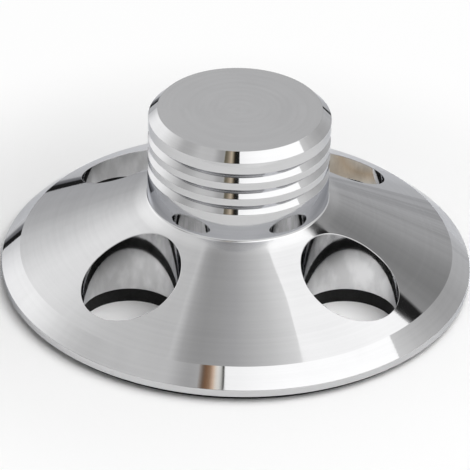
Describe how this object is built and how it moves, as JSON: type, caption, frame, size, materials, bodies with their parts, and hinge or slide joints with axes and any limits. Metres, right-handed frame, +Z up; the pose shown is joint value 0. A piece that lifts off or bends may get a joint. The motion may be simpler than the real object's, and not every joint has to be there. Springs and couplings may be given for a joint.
{
  "type": "record weight clamp",
  "caption": "Turned metal weight that slips over a turntable's spindle and presses a record flat: conical skirt with round holes, grooved cylindrical grip, soft pad underneath.",
  "frame": {"origin": "centre of the pad's underside, on the spindle's axis, where the weight rests on the record's label", "axes": "+Z up along the spindle's axis, towards the grip's top face; the skirt's holes lie at 45 degrees to X and Y"},
  "size_m": [0.08, 0.08, 0.0319],
  "materials": {
    "polished_metal": "mirror polished, with a fine satin top face",
    "pad_rubber": "matt black"
  },
  "bodies": {
    "root": {"body": "polished_metal", "label_pad": "pad_rubber"}
  },
  "joints": []
}
